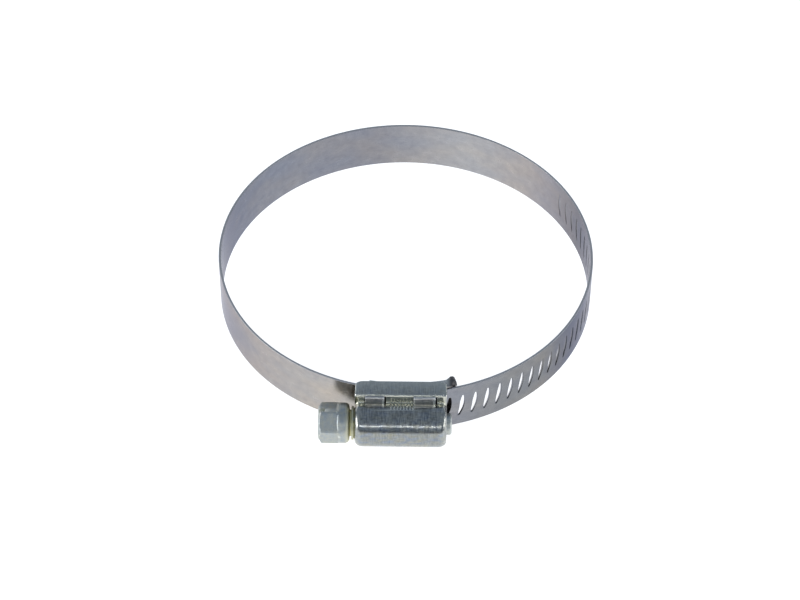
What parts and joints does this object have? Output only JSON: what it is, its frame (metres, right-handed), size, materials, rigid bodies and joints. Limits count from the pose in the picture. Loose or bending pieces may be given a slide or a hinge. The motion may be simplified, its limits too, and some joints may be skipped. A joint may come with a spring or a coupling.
{
  "type": "hose clamp",
  "caption": "Worm-drive hose clamp: a slotted steel band, a pressed housing on a saddle, and a slotted hex screw that draws the band tight round a hose.",
  "frame": {"origin": "middle of the outline at the height of the surface that the clamp lies on", "axes": "+Z across the width of the band, +Y from the housing towards the far side of the loop, +X along the screw from its head to its tip"},
  "size_m": [0.0902, 0.1002, 0.0155],
  "materials": {
    "stainless_steel": "cold-rolled stainless strip, satin, with faint grain along the strip",
    "zinc_plated_steel": "zinc plated pressed and turned steel, softly bright"
  },
  "bodies": {
    "base": {"housing": "zinc_plated_steel", "saddle": "stainless_steel", "band_fixed_end": "stainless_steel"},
    "slotted_band": {"band_slotted_end": "stainless_steel"},
    "screw": {"worm_screw": "zinc_plated_steel"},
    "link_01": {"band_link_01": "stainless_steel"},
    "link_02": {"band_link_02": "stainless_steel"},
    "link_03": {"band_link_03": "stainless_steel"},
    "link_04": {"band_link_04": "stainless_steel"},
    "link_05": {"band_link_05": "stainless_steel"},
    "link_06": {"band_link_06": "stainless_steel"},
    "link_07": {"band_link_07": "stainless_steel"},
    "link_08": {"band_link_08": "stainless_steel"},
    "link_09": {"band_link_09": "stainless_steel"},
    "link_10": {"band_link_10": "stainless_steel"},
    "link_11": {"band_link_11": "stainless_steel"},
    "link_12": {"band_link_12": "stainless_steel"}
  },
  "joints": [
    {"name": "band_feed", "type": "hinge", "parent": "base", "child": "slotted_band", "pos_m": [-0.00067, 0.00473, 0.00775], "axis": [0, 0, -1], "range_deg": [0, 95]},
    {"name": "link_01_bend", "type": "hinge", "parent": "slotted_band", "child": "link_01", "pos_m": [0.04035, 0.02373, 0.00775], "axis": [0, 0, 1], "range_deg": [0, 9.65]},
    {"name": "link_02_bend", "type": "hinge", "parent": "link_01", "child": "link_02", "pos_m": [0.03126, 0.03667, 0.00775], "axis": [0, 0, 1], "range_deg": [0, 8.58]},
    {"name": "link_03_bend", "type": "hinge", "parent": "link_02", "child": "link_03", "pos_m": [0.01822, 0.04561, 0.00775], "axis": [0, 0, 1], "range_deg": [0, 7.69]},
    {"name": "link_04_bend", "type": "hinge", "parent": "link_03", "child": "link_04", "pos_m": [0.00288, 0.04943, 0.00775], "axis": [0, 0, 1], "range_deg": [0, 7.14]},
    {"name": "link_05_bend", "type": "hinge", "parent": "link_04", "child": "link_05", "pos_m": [-0.01283, 0.04764, 0.00775], "axis": [0, 0, 1], "range_deg": [0, 6.93]},
    {"name": "link_06_bend", "type": "hinge", "parent": "link_05", "child": "link_06", "pos_m": [-0.02693, 0.04047, 0.00775], "axis": [0, 0, 1], "range_deg": [0, 6.95]},
    {"name": "link_12_bend", "type": "hinge", "parent": "base", "child": "link_12", "pos_m": [-0.01525, -0.03679, 0.00775], "axis": [0, 0, -1], "range_deg": [0, 9.12]},
    {"name": "link_11_bend", "type": "hinge", "parent": "link_12", "child": "link_11", "pos_m": [-0.02891, -0.02883, 0.00775], "axis": [0, 0, -1], "range_deg": [0, 8.77]},
    {"name": "link_10_bend", "type": "hinge", "parent": "link_11", "child": "link_10", "pos_m": [-0.03893, -0.01659, 0.00775], "axis": [0, 0, -1], "range_deg": [0, 8.37]},
    {"name": "link_09_bend", "type": "hinge", "parent": "link_10", "child": "link_09", "pos_m": [-0.04403, -0.00163, 0.00775], "axis": [0, 0, -1], "range_deg": [0, 7.91]},
    {"name": "link_08_bend", "type": "hinge", "parent": "link_09", "child": "link_08", "pos_m": [-0.04358, 0.01418, 0.00775], "axis": [0, 0, -1], "range_deg": [0, 7.42]},
    {"name": "link_07_bend", "type": "hinge", "parent": "link_08", "child": "link_07", "pos_m": [-0.03763, 0.02883, 0.00775], "axis": [0, 0, -1], "range_deg": [0, 7.06]},
    {"name": "screw_turn", "type": "hinge", "parent": "base", "child": "screw", "pos_m": [-0.00003, -0.04473, 0.00775], "axis": [1, 0, 0], "range_deg": [0, 8632.7]}
  ],
  "couplings": [
    {"joint": "link_01_bend", "follows": "band_feed", "ratio": 0.10104},
    {"joint": "link_02_bend", "follows": "band_feed", "ratio": 0.08979},
    {"joint": "link_03_bend", "follows": "band_feed", "ratio": 0.08046},
    {"joint": "link_04_bend", "follows": "band_feed", "ratio": 0.07466},
    {"joint": "link_05_bend", "follows": "band_feed", "ratio": 0.07247},
    {"joint": "link_06_bend", "follows": "band_feed", "ratio": 0.07259},
    {"joint": "link_12_bend", "follows": "band_feed", "ratio": 0.09545},
    {"joint": "link_11_bend", "follows": "band_feed", "ratio": 0.09179},
    {"joint": "link_10_bend", "follows": "band_feed", "ratio": 0.08763},
    {"joint": "link_09_bend", "follows": "band_feed", "ratio": 0.08269},
    {"joint": "link_08_bend", "follows": "band_feed", "ratio": 0.07759},
    {"joint": "link_07_bend", "follows": "band_feed", "ratio": 0.07384},
    {"joint": "screw_turn", "follows": "band_feed", "ratio": 90.865}
  ]
}
